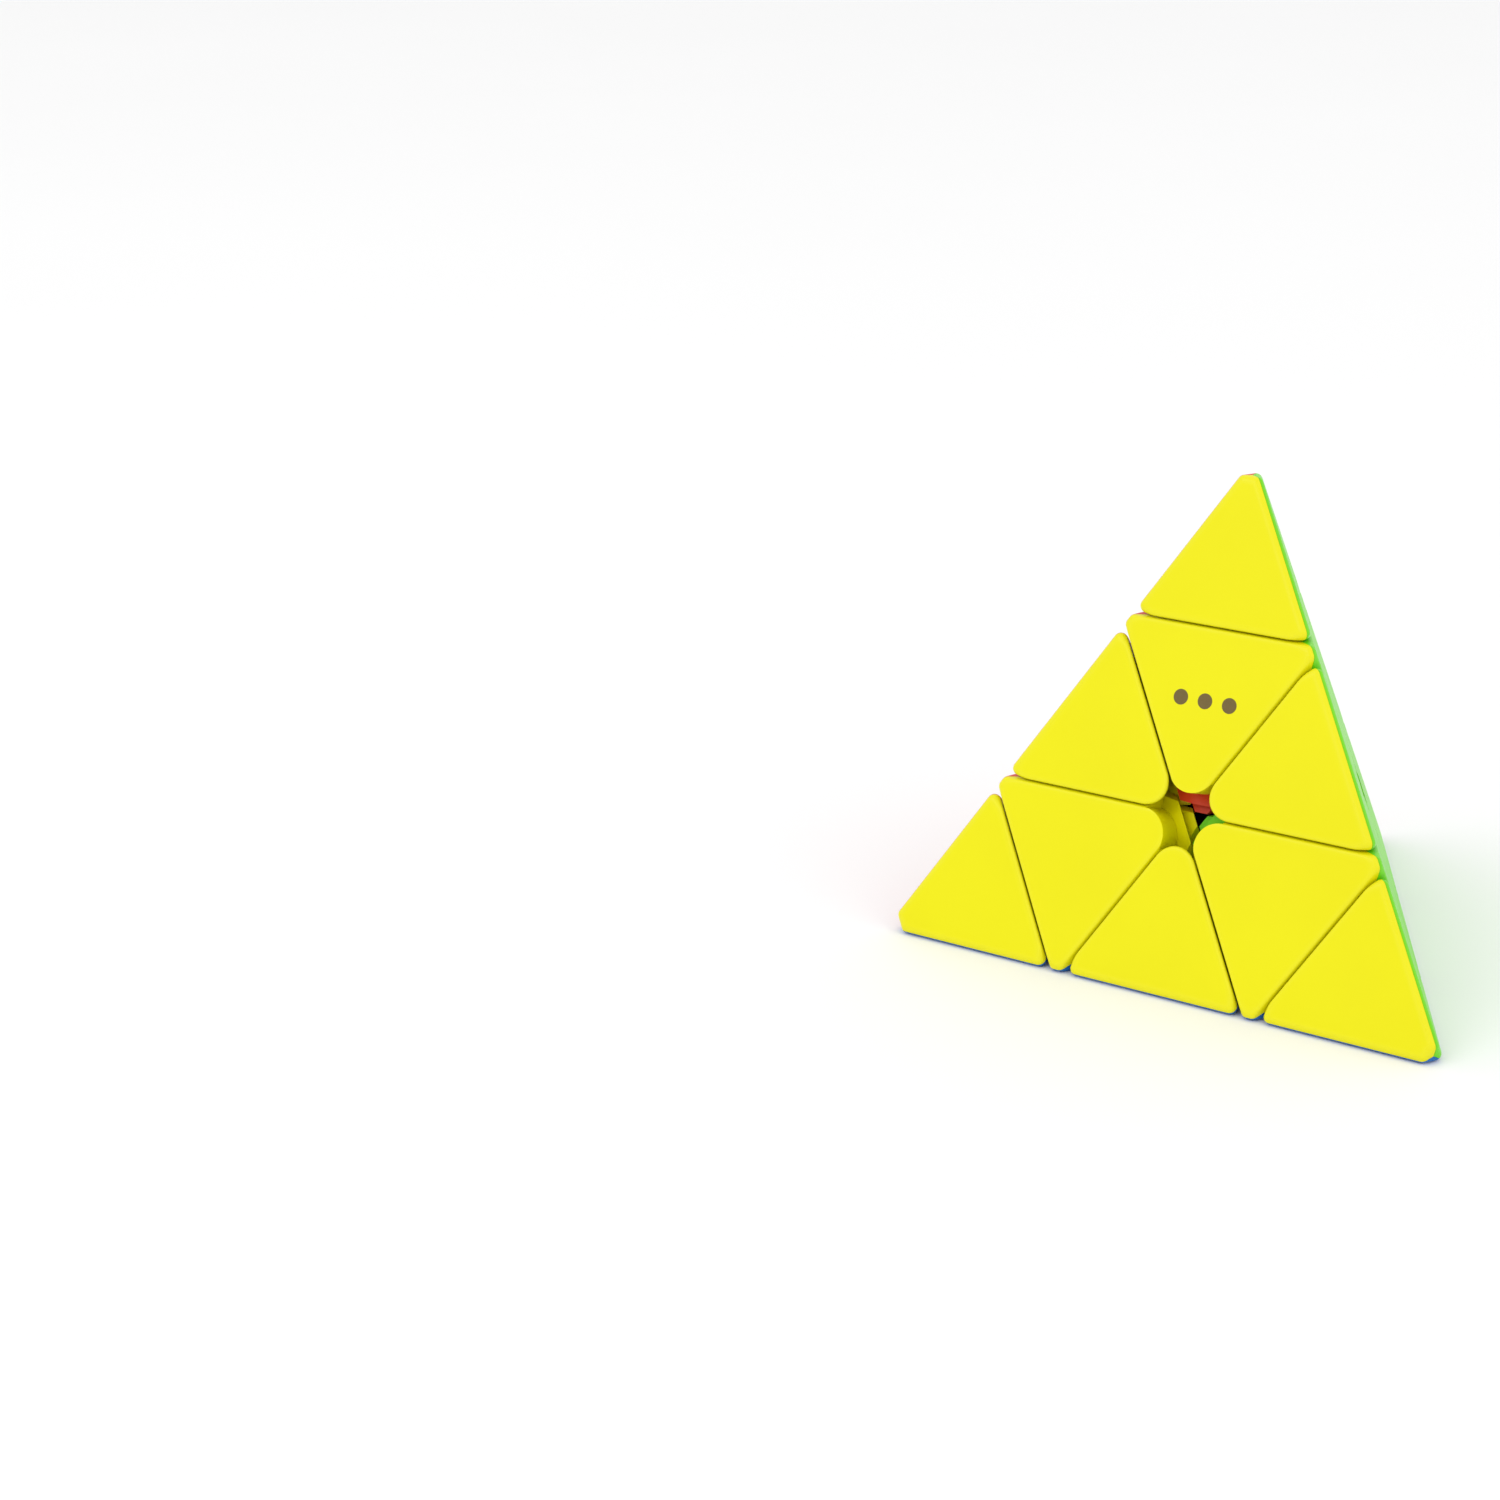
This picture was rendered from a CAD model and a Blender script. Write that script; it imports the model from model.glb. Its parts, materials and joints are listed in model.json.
"""Looks of the pyramid twisty puzzle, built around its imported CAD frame. All lengths are in metres.

Each centre, tip and edge piece is drawn once as a rounded convex solid, hollowed, split into its
coloured shells, and copied to the places where the frame holds that piece.
"""
import json
import math
from collections import namedtuple
from itertools import combinations

import bmesh
import bpy
from mathutils import Matrix, Vector


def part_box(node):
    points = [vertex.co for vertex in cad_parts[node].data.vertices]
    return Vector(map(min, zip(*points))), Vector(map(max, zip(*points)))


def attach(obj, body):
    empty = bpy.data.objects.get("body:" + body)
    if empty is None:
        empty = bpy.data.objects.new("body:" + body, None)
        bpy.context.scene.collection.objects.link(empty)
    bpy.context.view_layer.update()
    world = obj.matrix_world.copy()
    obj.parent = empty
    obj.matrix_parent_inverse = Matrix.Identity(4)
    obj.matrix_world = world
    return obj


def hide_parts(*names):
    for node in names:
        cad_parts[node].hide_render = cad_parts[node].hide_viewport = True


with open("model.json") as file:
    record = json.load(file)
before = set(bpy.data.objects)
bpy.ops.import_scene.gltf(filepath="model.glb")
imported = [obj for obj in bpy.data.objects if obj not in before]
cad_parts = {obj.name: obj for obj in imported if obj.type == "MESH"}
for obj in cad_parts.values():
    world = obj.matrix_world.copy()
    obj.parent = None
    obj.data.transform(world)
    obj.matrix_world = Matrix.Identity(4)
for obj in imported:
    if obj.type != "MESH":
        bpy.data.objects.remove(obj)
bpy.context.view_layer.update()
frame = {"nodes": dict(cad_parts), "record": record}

MM = 0.001

# ---- Directions: a face is named by its colour and lies opposite a corner ----


def low(azimuth):
    """Direction of a lower corner, seen from the middle of the core."""
    turn = math.radians(azimuth)
    reach = math.sqrt(8) / 3
    return Vector((reach * math.cos(turn), reach * math.sin(turn), -1 / 3))


UP = Vector((0, 0, 1))
CORNERS = {"top": UP, "left": low(210), "right": low(330), "back": low(90)}
FACE_OPPOSITE = {"yellow": "back", "green": "left", "red": "right", "blue": "top"}
EDGES = [
    ("top", "left"), ("top", "right"), ("top", "back"),
    ("left", "right"), ("right", "back"), ("left", "back"),
]

# ---- Sizes read from the frame ----
FACE_DIST = -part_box("left_right_edge_blue_half")[0].z
TIP_CUT_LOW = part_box("top_centre_yellow_cap")[1].z
TIP_CUT_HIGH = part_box("top_tip_yellow_shell")[0].z
CORNER_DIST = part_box("top_tip_yellow_shell")[1].z
SEAM = TIP_CUT_HIGH - TIP_CUT_LOW
LAYER_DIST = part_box("left_centre_yellow_cap")[1].z + SEAM / 2
LAYER_CUT = LAYER_DIST + SEAM / 2

# ---- Rounding ----
# The fillet that just touches the frame's trimmed edge
BAND_R = 1.2 * MM
SEAM_R = 0.5 * MM
INNER_R = 0.35 * MM
# Rounding inside the hollow shells
HOLLOW_R = 0.3 * MM
LOBE_R = 4.2 * MM
LOBE_STEPS = 12
# The upright wall below a centre piece's rounded corner, and how far outside the rim it stands
FAN_STEPS = 24
HALF_FAN = math.radians(60)
RIM_LEFT = 0.1 * MM
ARC_STEPS = 8
FADE_STEPS = 6
# Near a corner a fillet's radius changes to the corner's, over this many times the change and a
# little more, and over no more than a share of the edge
FADE_TIMES = 3
FADE_EXTRA = 0.3 * MM
FADE_SHARE = 0.49
# Half the stretch of an edge over which the ball's direction is taken
ROLL_STEP = 0.04 * MM
PATCH_RINGS = 5
# How far in from its outline each ring of a flat side lies, as a share, and its polish there
FLAT_RINGS = [(0, 0.7), (0.03, 0.25), (0.07, 0)]

# ---- Shells, hubs and magnets, as in the frame ----
WALL = 1.6 * MM
SHELL_GAP = 0.05 * MM
DOME_R = 16.65 * MM
CUP_R = 6.45 * MM
STALK_R = 4.05 * MM
FOOT_INNER_R = 9.8 * MM
FOOT_OUTER_R = 14.9 * MM
FOOT_STEP = 1.75 * MM
FOOT_REACH = 8.5 * MM
MAGNET_R = 2.05 * MM
MAGNET_T = 1.5 * MM
MAGNET_RISE = 9 * MM
MAGNET_SIDE = 6.5 * MM
BOSS_WALL = 0.85 * MM
REACH = 120 * MM
# Points closer than this are one point
TINY = 0.002 * MM


# ---- Rounded convex solids ----
Side = namedtuple("Side", "normal dist kind")


def turn_to(z, x):
    """Rotation whose Z and X columns are the unit vectors z and x."""
    y = z.cross(x)
    return Matrix((x, y, z)).transposed().to_4x4()


def square_to(n, v):
    """The part of v that is square to the unit vector n."""
    return (v - v.dot(n) * n).normalized()


def slerp(a, b, t):
    """Unit vector a share t of the way round from a to b."""
    angle = a.angle(b, 0)
    if angle < 1e-6:
        return a.copy()
    return (a * math.sin((1 - t) * angle) + b * math.sin(t * angle)) / math.sin(angle)


def meeting_point(sides, setback=0):
    """Point where three sides meet, each moved inwards by setback."""
    rows = Matrix([side.normal for side in sides])
    if abs(rows.determinant()) < 1e-6:
        return None
    return rows.inverted() @ Vector([side.dist - setback for side in sides])


def lobe_sides(a, b, radius, steps):
    """Sides that round the ridge between a and b, like the facets of a cylinder."""
    spread = a.normal.dot(b.normal)
    height_a = a.dist - radius
    height_b = b.dist - radius
    share = 1 - spread * spread
    axis_point = (
        a.normal * ((height_a - spread * height_b) / share)
        + b.normal * ((height_b - spread * height_a) / share)
    )
    found = []
    for step in range(steps):
        normal = slerp(a.normal, b.normal, (step + 0.5) / steps)
        found.append(Side(normal, normal.dot(axis_point) + radius, "lobe"))
    return found


CORNER_RADII = {
    ("face", "face", "face"): BAND_R,
    ("cut", "face", "face"): BAND_R,
    ("cut", "face", "lobe"): SEAM_R,
    ("face", "lobe", "lobe"): SEAM_R,
}
EDGE_RADII = {("face", "face"): BAND_R, ("cut", "face"): SEAM_R, ("face", "lobe"): SEAM_R}


class RoundedSolid:
    """Convex solid between sides. A ball that touches three sides rounds each corner. Fillets
    round the edges: each is the skin of a ball that rolls from one corner to the next, touches
    both sides, and shrinks or grows on the way. Neighbouring facets of a lobe, and a lobe and the
    cut beside it, share their normals where they meet, so they read as one curve."""

    def __init__(self, sides, chains, plain_radius=None):
        self.sides = sides
        self.smooth_pairs = {frozenset(pair) for chain in chains for pair in zip(chain, chain[1:])}
        self.plain_radius = plain_radius
        self.bm = bmesh.new()
        self.polish = self.bm.verts.layers.float.new("edge_polish")
        self.corners = [c for c in map(self.corner, combinations(range(len(sides)), 3)) if c]

    def radius(self, table, members):
        if self.plain_radius is not None:
            return self.plain_radius
        return table.get(tuple(sorted(self.sides[m].kind for m in members)), INNER_R)

    def corner(self, members):
        """The ball at the corner of three sides, as (members, centre, radius), or None."""
        trio = [self.sides[m] for m in members]
        point = meeting_point(trio)
        if point is None or any(s.normal.dot(point) > s.dist + TINY for s in self.sides):
            return None
        radius = self.radius(CORNER_RADII, members)
        return members, meeting_point(trio, radius), radius

    def is_smooth(self, members):
        return any(frozenset(pair) in self.smooth_pairs for pair in combinations(members, 2))

    def shared_normal(self, members, m):
        """Normal of side m at a corner, averaged with a lobe's next facet where there is one."""
        normal = self.sides[m].normal
        for other in members:
            if frozenset((m, other)) in self.smooth_pairs:
                if self.sides[m].kind == "cut":
                    return normal
                if self.sides[other].kind == "cut":
                    return self.sides[other].normal
                return (normal + self.sides[other].normal).normalized()
        return normal

    def vert(self, place, polish):
        new = self.bm.verts.new(place)
        new[self.polish] = polish
        return new

    def rolling_balls(self, f, g, start, end):
        """The ball's (centre, radius, axis of its contact arc) along the edge of sides f and g."""
        side_f, side_g = self.sides[f], self.sides[g]
        along = side_f.normal.cross(side_g.normal).normalized()
        here, there = along.dot(start[1]), along.dot(end[1])
        span = abs(there - here)
        middle = self.radius(EDGE_RADII, (f, g))
        fades = [
            min(FADE_TIMES * abs(ball[2] - middle) + FADE_EXTRA, FADE_SHARE * span)
            for ball in (start, end)
        ]

        def ball_at(gone):
            radius = middle
            for ball, fade, left in zip((start, end), fades, (gone, span - gone)):
                radius += (ball[2] - middle) * max(1 - left / fade, 0) ** 2
            place = here + (there - here) * gone / span
            cross_side = Side(along, place + radius, "cross")
            return meeting_point([side_f, side_g, cross_side], radius), radius

        stops = [0, span]
        if "lobe" not in (side_f.kind, side_g.kind):
            shares = [i / FADE_STEPS for i in range(1, FADE_STEPS + 1)]
            stops += [fades[0] * s for s in shares] + [span - fades[1] * s for s in shares]
        found = []
        for gone in sorted(stops):
            centre, radius = ball_at(gone)
            ahead = (
                ball_at(min(gone + ROLL_STEP, span))[0] - ball_at(max(gone - ROLL_STEP, 0))[0]
            )
            found.append((centre, radius, ahead.normalized()))
        return found

    def contact_arc(self, axis, start, end):
        """Unit vectors from start to end, round the axis that the ball rolls along."""
        lean = (start.dot(axis) + end.dot(axis)) / 2
        reach = math.sqrt(1 - lean * lean)
        first, last = (square_to(axis, v) for v in (start, end))
        arc = [
            lean * axis + reach * slerp(first, last, i / ARC_STEPS) for i in range(ARC_STEPS + 1)
        ]
        arc[0], arc[-1] = start, end
        return arc

    def edge(self, f, g, ends):
        """Fillet along one edge. Returns the outline points on f and on g, and keeps the arcs at
        both ends for the corner patches."""
        normals = [[self.shared_normal(ball[0], m) for m in (f, g)] for ball in ends]
        balls = self.rolling_balls(f, g, *ends)
        rows = []
        for i, (centre, radius, axis) in enumerate(balls):
            at_end = {0: 0, len(balls) - 1: 1}.get(i)
            pair = [self.sides[f].normal, self.sides[g].normal]
            if at_end is not None:
                pair = normals[at_end]
            if at_end is not None and self.is_smooth(ends[at_end][0]):
                arc = [slerp(*pair, k / ARC_STEPS) for k in range(ARC_STEPS + 1)]
            else:
                arc = self.contact_arc(axis, *pair)
            if at_end is not None:
                self.arcs[ends[at_end][0], frozenset((f, g))] = (f, arc)
            rows.append([centre + radius * n for n in arc])
        outline = [row[0] for row in rows], [row[-1] for row in rows]
        if frozenset((f, g)) not in self.smooth_pairs:
            verts = [[self.vert(p, 1.0) for p in row] for row in rows]
            for one, two in zip(verts, verts[1:]):
                for k in range(ARC_STEPS):
                    self.bm.faces.new([one[k], one[k + 1], two[k + 1], two[k]])
        return outline

    def corner_patch(self, members, centre, radius):
        """The part of a corner's ball between its three fillets, as rings round its middle."""
        if self.is_smooth(members):
            return
        loop = []
        for m, following in zip(members, members[1:] + members[:1]):
            first, arc = self.arcs[members, frozenset((m, following))]
            loop += (arc if first == m else arc[::-1])[:-1]
        middle = sum(loop, Vector()).normalized()
        rings = []
        for share in range(PATCH_RINGS):
            normals = [n.lerp(middle, share / PATCH_RINGS).normalized() for n in loop]
            rings.append([self.vert(centre + radius * n, 1.0) for n in normals])
        top = self.vert(centre + radius * middle, 1.0)
        for i in range(len(loop)):
            k = (i + 1) % len(loop)
            for outer, inner in zip(rings, rings[1:]):
                self.bm.faces.new([outer[i], outer[k], inner[k], inner[i]])
            self.bm.faces.new([rings[-1][i], rings[-1][k], top])

    def flat(self, outline):
        """A flat side, with rings inside its outline over which the polish of the edges fades."""
        middle = sum(outline, Vector()) / len(outline)
        rings = []
        for share, polish in FLAT_RINGS:
            rings.append([self.vert(p.lerp(middle, share), polish) for p in outline])
        for outer, inner in zip(rings, rings[1:]):
            for i in range(len(outline)):
                k = (i + 1) % len(outline)
                self.bm.faces.new([outer[i], outer[k], inner[k], inner[i]])
        self.bm.faces.new(rings[-1])

    def build(self):
        outlines = {m: [] for m in range(len(self.sides))}
        self.arcs = {}
        for f, g in combinations(range(len(self.sides)), 2):
            ends = [ball for ball in self.corners if f in ball[0] and g in ball[0]]
            if len(ends) == 2:
                on_f, on_g = self.edge(f, g, ends)
                outlines[f].append(on_f)
                outlines[g].append(on_g)
        for ball in self.corners:
            self.corner_patch(*ball)
        for m, rows in outlines.items():
            if rows and self.sides[m].kind == "lobe":
                self.bm.faces.new([self.vert(p, 0.5) for p in chained(rows)])
            elif rows:
                self.flat(chained(rows))
        bmesh.ops.remove_doubles(self.bm, verts=self.bm.verts, dist=TINY)
        bmesh.ops.dissolve_degenerate(self.bm, edges=self.bm.edges, dist=TINY)
        bmesh.ops.recalc_face_normals(self.bm, faces=self.bm.faces)
        return self.bm


def chained(pieces):
    """One closed outline from the rows of points along its edges, put end to end."""
    pieces = [list(p) for p in pieces]
    outline = pieces.pop(0)
    while pieces:
        nearest = min(
            ((min((p[0] - outline[-1]).length, (p[-1] - outline[-1]).length), i)
             for i, p in enumerate(pieces))
        )[1]
        piece = pieces.pop(nearest)
        if (piece[-1] - outline[-1]).length < (piece[0] - outline[-1]).length:
            piece.reverse()
        outline += piece
    clean = []
    for point in outline:
        if not clean or (point - clean[-1]).length > TINY:
            clean.append(point)
    if (clean[0] - clean[-1]).length < TINY:
        clean.pop()
    return clean


# ---- Plain tools for carving ----


def object_from(bm, name):
    mesh = bpy.data.meshes.new(name)
    bm.to_mesh(mesh)
    bm.free()
    new = bpy.data.objects.new(name, mesh)
    bpy.context.scene.collection.objects.link(new)
    return new


def ball_tool(radius, rings=48):
    bm = bmesh.new()
    bmesh.ops.create_uvsphere(bm, u_segments=2 * rings, v_segments=rings, radius=radius)
    return object_from(bm, "tool")


def round_tool(radius, start, end, place=Matrix(), segments=64):
    """A round bar along Z from start to end, at place."""
    bm = bmesh.new()
    middle = Matrix.Translation((0, 0, (start + end) / 2))
    bmesh.ops.create_cone(
        bm, cap_ends=True, segments=segments, radius1=radius, radius2=radius,
        depth=end - start, matrix=place @ middle,
    )
    return object_from(bm, "tool")


def prism_tool(outline, start, end):
    """A prism over a flat outline of (x, y) points, counted anticlockwise."""
    bm = bmesh.new()
    low_ring = [bm.verts.new((x, y, start)) for x, y in outline]
    high_ring = [bm.verts.new((x, y, end)) for x, y in outline]
    bm.faces.new(reversed(low_ring))
    bm.faces.new(high_ring)
    for i in range(len(outline)):
        k = (i + 1) % len(outline)
        bm.faces.new([low_ring[i], low_ring[k], high_ring[k], high_ring[i]])
    return object_from(bm, "tool")


def solid_between(sides):
    """A plain solid between sides, used as a tool."""
    return object_from(RoundedSolid(sides, [], HOLLOW_R).build(), "tool")


def carve(target, tool, operation):
    """Replaces target's mesh by its boolean with tool, and removes the tool."""
    step = target.modifiers.new("carve", "BOOLEAN")
    step.solver = "MANIFOLD"
    step.operation = operation
    step.object = tool
    bpy.context.view_layer.update()
    done = bpy.data.meshes.new_from_object(
        target.evaluated_get(bpy.context.evaluated_depsgraph_get())
    )
    target.modifiers.clear()
    target.data = done
    bpy.data.objects.remove(tool)
    return target


# ---- Upright centre piece: own corner along +Z, this shell's face towards +X ----
NEXT = [low(60), low(180), low(300)]
OWN_FACES = [-low(180), -low(300), -low(60)]


def centre_sides(setback=0):
    """Sides of a centre piece, and the chains of sides that make one curve at its holes."""
    faces = [Side(n, FACE_DIST - setback, "face") for n in OWN_FACES]
    ends = [
        Side(-UP, -LAYER_CUT - setback, "cut"),
        Side(UP, TIP_CUT_LOW - setback, "cut"),
    ]
    cuts = [Side(n, LAYER_DIST - SEAM / 2 - setback, "cut") for n in NEXT]
    sides = faces + ends + cuts
    chains = []
    for i in range(3):
        a = len(faces + ends) + i
        b = len(faces + ends) + (i + 1) % 3
        lobes = lobe_sides(sides[a], sides[b], LOBE_R - setback, LOBE_STEPS)
        chains.append([a, *range(len(sides), len(sides) + LOBE_STEPS), b])
        sides = sides + lobes
    return sides, chains


def third_tool():
    """The third of a corner piece that one shell takes up, less half the gap between shells."""
    slant = math.radians(60)
    apex = SHELL_GAP / 2 / math.sin(slant)
    outline = [
        (apex, 0),
        (apex + REACH * math.cos(slant), -REACH * math.sin(slant)),
        (apex + REACH * math.cos(slant), REACH * math.sin(slant)),
    ]
    return prism_tool(outline, -REACH, REACH)


def hole_tool(inwards):
    """What leans out past the rounded corner at the hole: a fan round the corner's arc, square to
    the shell's own face. It is moved inwards from the arc by the given amount."""
    face = OWN_FACES[0]
    to_hole = -square_to(face, UP)
    lean = NEXT[0].dot(face)
    seam_dist = (LAYER_DIST - SEAM / 2 - lean * FACE_DIST) / math.sqrt(1 - lean * lean)
    middle = (seam_dist - LOBE_R) / to_hole.dot(square_to(face, NEXT[0]))

    def on_ray(side, reach):
        """A point on one straight side of the fan."""
        turn = side * HALF_FAN
        return (
            reach * math.cos(turn) - side * inwards * math.sin(turn),
            reach * math.sin(turn) + side * inwards * math.cos(turn),
        )

    radius = LOBE_R - inwards
    outline = [on_ray(1, REACH), on_ray(1, radius)]
    for step in range(FAN_STEPS + 1):
        turn = HALF_FAN * (1 - 2 * step / FAN_STEPS)
        outline.append((radius * math.cos(turn), radius * math.sin(turn)))
    outline += [on_ray(-1, radius), on_ray(-1, REACH)]
    tool = prism_tool(outline, 0, REACH)
    tool.data.transform(Matrix.Translation(to_hole * middle) @ turn_to(face, to_hole))
    return tool


def magnet_seat(place):
    """A ring on the inside of a cut's wall that holds one magnet."""
    ring = round_tool(MAGNET_R + BOSS_WALL, -WALL / 2, MAGNET_T, place)
    return carve(ring, round_tool(MAGNET_R, 0, REACH, place), "DIFFERENCE")


def centre_magnet_place(corner, side):
    rise = square_to(corner, UP)
    ridge = LAYER_DIST * math.sqrt(3) * (UP + corner).normalized()
    sideways = UP.cross(corner).normalized()
    spot = ridge + MAGNET_RISE * rise + side * MAGNET_SIDE * sideways
    spot -= (SEAM / 2 + WALL) * corner
    return Matrix.Translation(spot) @ turn_to(-corner, square_to(corner, UP))


def make_centre_cap():
    sides, chains = centre_sides()
    piece = object_from(RoundedSolid(sides, chains).build(), "centre_cap")
    inner, inner_chains = centre_sides(WALL)
    hollow = object_from(RoundedSolid(inner, inner_chains, HOLLOW_R).build(), "tool")
    for corner, side in ((NEXT[0], -1), (NEXT[2], 1)):
        hollow = carve(hollow, magnet_seat(centre_magnet_place(corner, side)), "DIFFERENCE")
    hollow = carve(hollow, hole_tool(WALL), "DIFFERENCE")
    piece = carve(piece, hole_tool(-RIM_LEFT), "DIFFERENCE")
    piece = carve(piece, hollow, "DIFFERENCE")
    piece = carve(piece, ball_tool(DOME_R), "DIFFERENCE")
    piece = carve(piece, round_tool(CUP_R, 0, REACH), "DIFFERENCE")
    return carve(piece, third_tool(), "INTERSECT")


def make_tip_shell():
    faces = [Side(n, FACE_DIST, "face") for n in OWN_FACES]
    floor = Side(-UP, -TIP_CUT_HIGH, "cut")
    cap = Side(UP, CORNER_DIST, "face")
    sides = faces + [floor, cap]
    piece = object_from(RoundedSolid(sides, []).build(), "tip_shell")
    inner = [Side(side.normal, side.dist - WALL, side.kind) for side in sides]
    piece = carve(piece, solid_between(inner), "DIFFERENCE")
    piece = carve(piece, round_tool(STALK_R, 0, TIP_CUT_HIGH + 2 * WALL), "DIFFERENCE")
    return carve(piece, third_tool(), "INTERSECT")


# ---- Upright edge piece: middle of its edge along +Z, its corners towards +X and -X ----
EDGE_CORNERS = [
    Vector((math.sqrt(2 / 3), 0, math.sqrt(1 / 3))),
    Vector((-math.sqrt(2 / 3), 0, math.sqrt(1 / 3))),
]
EDGE_FACES = [
    Vector((0, math.sqrt(2 / 3), math.sqrt(1 / 3))),
    Vector((0, -math.sqrt(2 / 3), math.sqrt(1 / 3))),
]


def edge_sides(setback=0):
    sides = [Side(n, FACE_DIST - setback, "face") for n in EDGE_FACES]
    sides += [Side(-n, -LAYER_CUT - setback, "cut") for n in EDGE_CORNERS]
    lobes = lobe_sides(sides[2], sides[3], LOBE_R - setback, LOBE_STEPS)
    chain = [2, *range(4, 4 + LOBE_STEPS), 3]
    return sides + lobes, [chain]


def edge_magnet_place(n):
    corner = EDGE_CORNERS[n]
    rise = square_to(corner, EDGE_CORNERS[1 - n])
    spot = Vector((0, MAGNET_SIDE, LAYER_DIST * math.sqrt(3))) + MAGNET_RISE * rise
    spot += (SEAM / 2 + WALL) * corner
    return Matrix.Translation(spot) @ turn_to(corner, square_to(corner, UP))


def make_edge_half():
    sides, chains = edge_sides()
    piece = object_from(RoundedSolid(sides, chains).build(), "edge_half")
    inner, inner_chains = edge_sides(WALL)
    hollow = object_from(RoundedSolid(inner, inner_chains, HOLLOW_R).build(), "tool")
    for n in (0, 1):
        hollow = carve(hollow, magnet_seat(edge_magnet_place(n)), "DIFFERENCE")
    piece = carve(piece, hollow, "DIFFERENCE")
    foot = carve(ball_tool(FOOT_OUTER_R), ball_tool(FOOT_INNER_R), "DIFFERENCE")
    foot_cut = LAYER_CUT - FOOT_STEP
    wedge = [Side(-n, -foot_cut, "cut") for n in EDGE_CORNERS]
    wedge += [Side(UP, REACH, "cut")]
    wedge += [Side(Vector((0, s, 0)), FOOT_REACH, "cut") for s in (1, -1)]
    foot = carve(foot, solid_between(wedge), "INTERSECT")
    piece = carve(piece, foot, "UNION")
    half = [(-REACH, SHELL_GAP / 2), (REACH, SHELL_GAP / 2), (REACH, REACH), (-REACH, REACH)]
    return carve(piece, prism_tool(half, -REACH, REACH), "INTERSECT")


# ---- Materials ----


def node(tree, kind, **values):
    new = tree.nodes.new(kind)
    for name, value in values.items():
        if name in new.inputs:
            new.inputs[name].default_value = value
        else:
            setattr(new, name, value)
    return new


def noise(tree, place, scale, detail=2.0, roughness=0.5):
    new = node(tree, "ShaderNodeTexNoise", Scale=scale, Detail=detail, Roughness=roughness)
    tree.links.new(place, new.inputs["Vector"])
    return new.outputs["Fac"]


def ramp(tree, value, low_in, high_in, low_out, high_out):
    new = tree.nodes.new("ShaderNodeMapRange")
    tree.links.new(value, new.inputs["Value"])
    for name, number in zip(("From Min", "From Max", "To Min", "To Max"),
                            (low_in, high_in, low_out, high_out)):
        new.inputs[name].default_value = number
    return new.outputs["Result"]


def calculate(tree, operation, a, b):
    new = tree.nodes.new("ShaderNodeMath")
    new.operation = operation
    for socket, value in zip(new.inputs, (a, b)):
        if isinstance(value, (int, float)):
            socket.default_value = value
        else:
            tree.links.new(value, socket)
    return new.outputs["Value"]


def mixed(tree, share, a, b):
    """Colour between a and b; each is a colour or a socket."""
    new = tree.nodes.new("ShaderNodeMix")
    new.data_type = "RGBA"
    tree.links.new(share, new.inputs[0])
    for socket, value in ((new.inputs[6], a), (new.inputs[7], b)):
        if isinstance(value, tuple):
            socket.default_value = (*value, 1)
        else:
            tree.links.new(value, socket)
    return new.outputs[2]


def bump(tree, height, strength, distance, before=None):
    new = node(tree, "ShaderNodeBump", Strength=strength, Distance=distance)
    tree.links.new(height, new.inputs["Height"])
    if before is not None:
        tree.links.new(before, new.inputs["Normal"])
    return new.outputs["Normal"]


def blank_material(name):
    material = bpy.data.materials.new(name)
    material.use_nodes = True
    tree = material.node_tree
    shader = next(n for n in tree.nodes if n.type == "BSDF_PRINCIPLED")
    place = tree.nodes.new("ShaderNodeTexCoord").outputs["Object"]
    return material, tree, shader, place


def plastic(name, colour, shade, roughness=0.36, specular=0.2):
    """Satin moulded plastic: fine eroded grain, slow flow variation, faint smudges from hands,
    hairline scratches, and edges that handling has polished."""
    material, tree, shader, place = blank_material(name)
    flow = noise(tree, place, 45, 3)
    smudge = noise(tree, place, 110, 4, 0.6)
    grain = noise(tree, place, 5200, 2)
    ripple = noise(tree, place, 260, 2)
    stretched = tree.nodes.new("ShaderNodeMapping")
    stretched.inputs["Rotation"].default_value = (0.4, 0.9, 0.3)
    stretched.inputs["Scale"].default_value = (90, 2600, 2600)
    tree.links.new(place, stretched.inputs["Vector"])
    scratch_field = noise(tree, stretched.outputs["Vector"], 1.0, 1)
    scratch = ramp(tree, scratch_field, 0.70, 0.76, 0, 1)
    polish = node(tree, "ShaderNodeAttribute", attribute_name="edge_polish").outputs["Fac"]

    body = mixed(tree, ramp(tree, flow, 0.35, 0.65, 0, 1), colour, shade)
    worn = tuple(min(1, 0.96 * c + 0.03) for c in colour)
    body = mixed(tree, calculate(tree, "MULTIPLY", polish, 0.35), body, worn)
    tree.links.new(body, shader.inputs["Base Color"])

    rough = ramp(tree, smudge, 0.3, 0.7, roughness - 0.05, roughness + 0.06)
    rough = calculate(tree, "SUBTRACT", rough, calculate(tree, "MULTIPLY", polish, 0.07))
    rough = calculate(tree, "ADD", rough, calculate(tree, "MULTIPLY", scratch, 0.08))
    tree.links.new(rough, shader.inputs["Roughness"])

    normal = bump(tree, ripple, 0.10, 0.00012)
    normal = bump(tree, grain, 0.12, 0.00003, normal)
    normal = bump(tree, scratch, 0.05, 0.00001, normal)
    tree.links.new(normal, shader.inputs["Normal"])
    shader.inputs["Specular IOR Level"].default_value = specular
    return material


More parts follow.
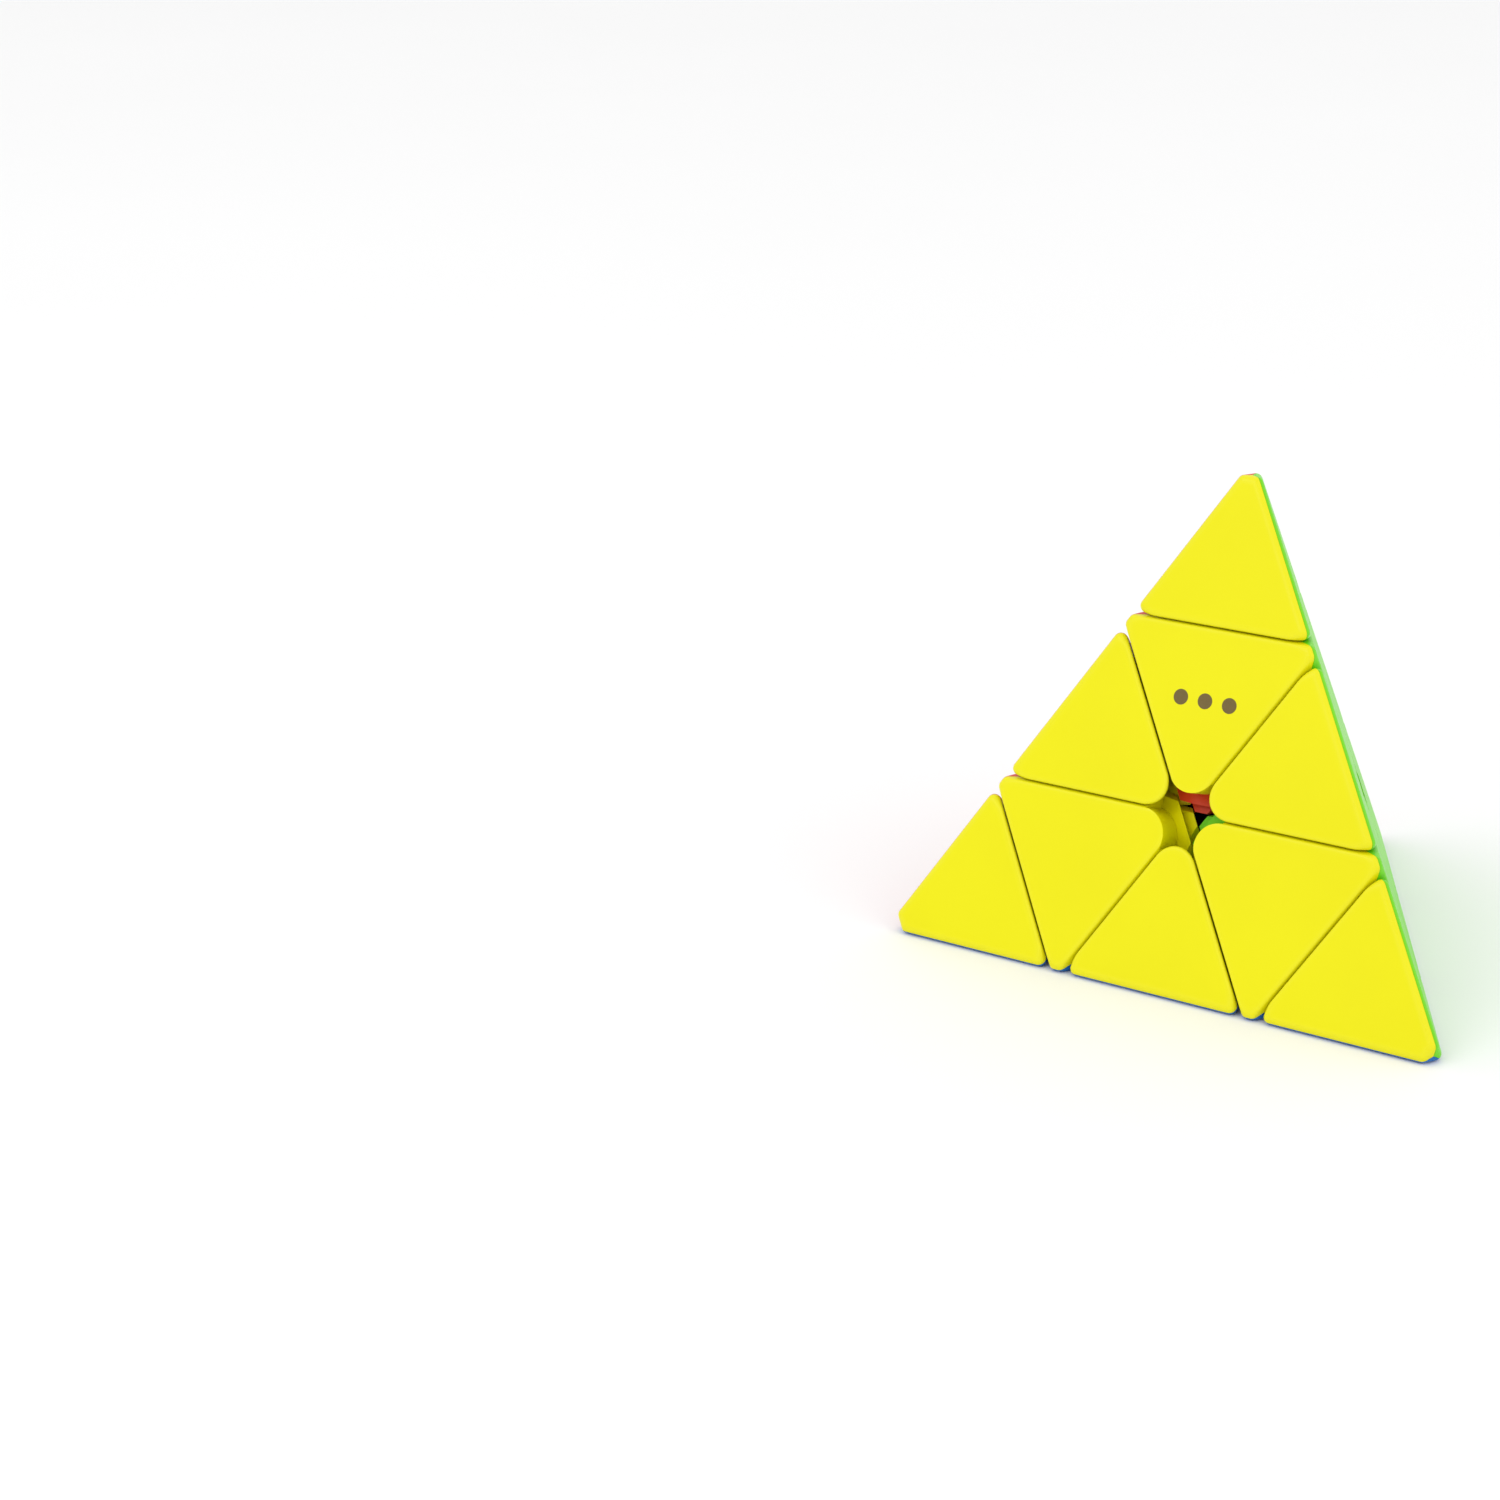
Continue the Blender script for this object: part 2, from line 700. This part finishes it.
def metal(name, colour, shade, roughness, grain_scale):
    """Plated metal with fine streaks and slight tarnish."""
    material, tree, shader, place = blank_material(name)
    tarnish = noise(tree, place, 350, 4, 0.6)
    streak = noise(tree, place, grain_scale, 2)
    body = mixed(tree, ramp(tree, tarnish, 0.35, 0.7, 0, 1), colour, shade)
    tree.links.new(body, shader.inputs["Base Color"])
    rough = ramp(tree, tarnish, 0.3, 0.7, roughness - 0.05, roughness + 0.1)
    tree.links.new(rough, shader.inputs["Roughness"])
    tree.links.new(bump(tree, streak, 0.2, 0.00002), shader.inputs["Normal"])
    shader.inputs["Metallic"].default_value = 1.0
    return material


def ink(name, colour, shade):
    """Printed ink, a little uneven where the pad pressed it on."""
    material, tree, shader, place = blank_material(name)
    patch = noise(tree, place, 1400, 3)
    speck = noise(tree, place, 6000, 2)
    tree.links.new(mixed(tree, patch, colour, shade), shader.inputs["Base Color"])
    tree.links.new(ramp(tree, speck, 0.3, 0.7, 0.4, 0.6), shader.inputs["Roughness"])
    tree.links.new(bump(tree, speck, 0.1, 0.00001), shader.inputs["Normal"])
    return material


PLASTICS = {
    "yellow": plastic("yellow_plastic", (0.78, 0.735, 0.0), (0.765, 0.715, 0.0)),
    "green": plastic("green_plastic", (0.17, 0.66, 0.004), (0.155, 0.62, 0.004)),
    "red": plastic("red_plastic", (0.66, 0.05, 0.012), (0.62, 0.044, 0.011)),
    "blue": plastic("blue_plastic", (0.002, 0.14, 0.47), (0.002, 0.128, 0.44)),
}
CORE_PLASTIC = plastic("core_plastic", (0.030, 0.030, 0.033), (0.024, 0.024, 0.027), 0.5)
STEEL = metal("zinc_plated_steel", (0.60, 0.60, 0.62), (0.50, 0.50, 0.53), 0.28, 3800)
NICKEL = metal("nickel_plate", (0.66, 0.64, 0.60), (0.58, 0.55, 0.50), 0.16, 5200)
INK = ink("brown_ink", (0.115, 0.075, 0.008), (0.15, 0.10, 0.012))

# ---- Shells of the 14 turning pieces ----
SHARP_FROM = math.radians(32)
FLAT_WEIGHT = 50


def finish_mesh(source):
    """Smooth shading with sharp edges kept, and normals that favour the large flat sides."""
    source.data.shade_smooth()
    source.data.set_sharp_from_angle(angle=SHARP_FROM)
    step = source.modifiers.new("normals", "WEIGHTED_NORMAL")
    step.keep_sharp = True
    step.mode = "FACE_AREA"
    step.weight = FLAT_WEIGHT
    bpy.context.view_layer.update()
    mesh = bpy.data.meshes.new_from_object(
        source.evaluated_get(bpy.context.evaluated_depsgraph_get())
    )
    bpy.data.objects.remove(source)
    return mesh


def corner_place(corner, face):
    """Where an upright centre or tip shell goes: own corner, and the colour of its face."""
    z = CORNERS[corner]
    return turn_to(z, -square_to(z, CORNERS[FACE_OPPOSITE[face]]))


def edge_place(a, b, face):
    z = (CORNERS[a] + CORNERS[b]).normalized()
    faceward = -square_to(z, CORNERS[FACE_OPPOSITE[face]])
    return turn_to(z, faceward.cross(z))


def place_shell(mesh, place, cad_node, body, colour):
    """One coloured shell, which stands for a CAD node of the same name."""
    copy = mesh.copy()
    copy.transform(place)
    shell = bpy.data.objects.new(cad_node + "_moulding", copy)
    bpy.context.scene.collection.objects.link(shell)
    copy.materials.clear()
    copy.materials.append(PLASTICS[colour])
    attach(shell, body)
    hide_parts(cad_node)


cap_mesh = finish_mesh(make_centre_cap())
tip_mesh = finish_mesh(make_tip_shell())
half_mesh = finish_mesh(make_edge_half())

for corner in CORNERS:
    for colour, opposite in FACE_OPPOSITE.items():
        if opposite == corner:
            continue
        place = corner_place(corner, colour)
        place_shell(cap_mesh, place, f"{corner}_centre_{colour}_cap", f"{corner}_centre", colour)
        place_shell(tip_mesh, place, f"{corner}_tip_{colour}_shell", f"{corner}_tip", colour)
for a, b in EDGES:
    for colour, opposite in FACE_OPPOSITE.items():
        if opposite in (a, b):
            continue
        body = f"{a}_{b}_edge"
        place_shell(half_mesh, edge_place(a, b, colour), f"{body}_{colour}_half", body, colour)

# ---- CAD pieces that stay: hubs, stalks, core, screws, springs, washers and magnets ----
SLOT_MATERIALS = {colour + "_plastic": made for colour, made in PLASTICS.items()}
SLOT_MATERIALS.update(core_plastic=CORE_PLASTIC, steel=STEEL, magnet=NICKEL)
slots = {sub["node"]: sub["material_slot"] for sub in frame["record"]["subparts"]}
for name, cad_object in frame["nodes"].items():
    if cad_object.hide_render:
        continue
    cad_object.data.materials.clear()
    cad_object.data.materials.append(SLOT_MATERIALS[slots[name]])

# ---- Printed mark: three plain dots in a row, on the top centre's yellow facelet ----
DOT_R = 1.3 * MM
DOT_STEP = 4.4 * MM
DOT_POINTS = 40
MARK_LIFT = 0.02 * MM
MARK_RISE = 3.6 * MM


def make_mark():
    """Three thin discs of ink in a row, a little above the middle height of their facelet."""
    bm = bmesh.new()
    for spot in (-1, 0, 1):
        ring = []
        for point in range(DOT_POINTS):
            turn = math.tau * point / DOT_POINTS
            ring.append(bm.verts.new((
                spot * DOT_STEP + DOT_R * math.cos(turn), DOT_R * math.sin(turn), 0
            )))
        bm.faces.new(ring)
    made = bmesh.ops.extrude_face_region(bm, geom=bm.faces[:])
    moved = [v for v in made["geom"] if isinstance(v, bmesh.types.BMVert)]
    bmesh.ops.translate(bm, verts=moved, vec=(0, 0, MARK_LIFT))
    bmesh.ops.recalc_face_normals(bm, faces=bm.faces)
    mark = object_from(bm, "printed_mark")
    normal = -CORNERS["back"]
    upward = square_to(normal, UP)
    # Heights of the facelet's two ends above the middle of the face
    lowest = LAYER_DIST - FACE_DIST / 3
    highest = TIP_CUT_LOW - FACE_DIST / 3
    # Rise for each step up along the face
    slope = math.sqrt(8) / 3
    height = (lowest + highest) / 2 / slope
    place = turn_to(normal, upward.cross(normal))
    shift = normal * FACE_DIST + upward * (height + MARK_RISE)
    mark.data.transform(Matrix.Translation(shift) @ place)
    mark.data.materials.append(INK)
    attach(mark, "top_centre")


make_mark()

# ---- Floor, light and camera ----
FLOOR_SIZE = 12.0
FLOOR_GAP = 0.05 * MM
FLOOR_PALE = (0.90, 0.90, 0.90)
FLOOR_PALER = (0.92, 0.92, 0.92)
floor_bm = bmesh.new()
bmesh.ops.create_grid(floor_bm, x_segments=2, y_segments=2, size=FLOOR_SIZE / 2)
floor = object_from(floor_bm, "floor")
floor.location.z = -FACE_DIST - FLOOR_GAP
floor_material, floor_tree, floor_shader, floor_place = blank_material("pale_floor")
floor_tint = mixed(floor_tree, noise(floor_tree, floor_place, 4), FLOOR_PALE, FLOOR_PALER)
floor_tree.links.new(floor_tint, floor_shader.inputs["Base Color"])
floor_shader.inputs["Roughness"].default_value = 0.9
floor_shader.inputs["Specular IOR Level"].default_value = 0.1
floor.data.materials.append(floor_material)

scene = bpy.context.scene
scene.view_settings.view_transform = "Standard"
world = bpy.data.worlds.new("studio")
world.use_nodes = True
backdrop = world.node_tree.nodes["Background"]
backdrop.inputs["Color"].default_value = (1, 1, 1, 1)
backdrop.inputs["Strength"].default_value = 1.0
scene.world = world


def softbox(name, place, aim, size, power):
    light = bpy.data.lights.new(name, "AREA")
    light.shape = "SQUARE"
    light.size = size
    light.energy = power
    lamp = bpy.data.objects.new(name, light)
    lamp.location = place
    lamp.rotation_euler = (Vector(aim) - Vector(place)).to_track_quat("-Z", "Y").to_euler()
    scene.collection.objects.link(lamp)


softbox("key_softbox", (-0.5, -1.3, 1.2), (0, 0, 0), 1.2, 6)
softbox("fill_softbox", (1.4, -0.2, 0.9), (0, 0, 0), 1.2, 3)

CAMERA_PLACE = Vector((0.2224, -0.4560, 0.1885))
CAMERA_AHEAD = Vector((-0.5460, 0.7702, -0.3297)).normalized()
CAMERA_ROLL = math.radians(-0.6)
CAMERA_LENS = 75.9
CAMERA_SENSOR = 36
camera_data = bpy.data.cameras.new("camera")
camera_data.lens = CAMERA_LENS
camera_data.sensor_width = CAMERA_SENSOR
camera_data.clip_start = 0.01
camera = bpy.data.objects.new("camera", camera_data)
scene.collection.objects.link(camera)
sideways = CAMERA_AHEAD.cross(UP).normalized()
level = Matrix((sideways, sideways.cross(CAMERA_AHEAD), -CAMERA_AHEAD)).transposed()
camera.matrix_world = (
    Matrix.Translation(CAMERA_PLACE) @ level.to_4x4() @ Matrix.Rotation(CAMERA_ROLL, 4, "Z")
)
scene.camera = camera
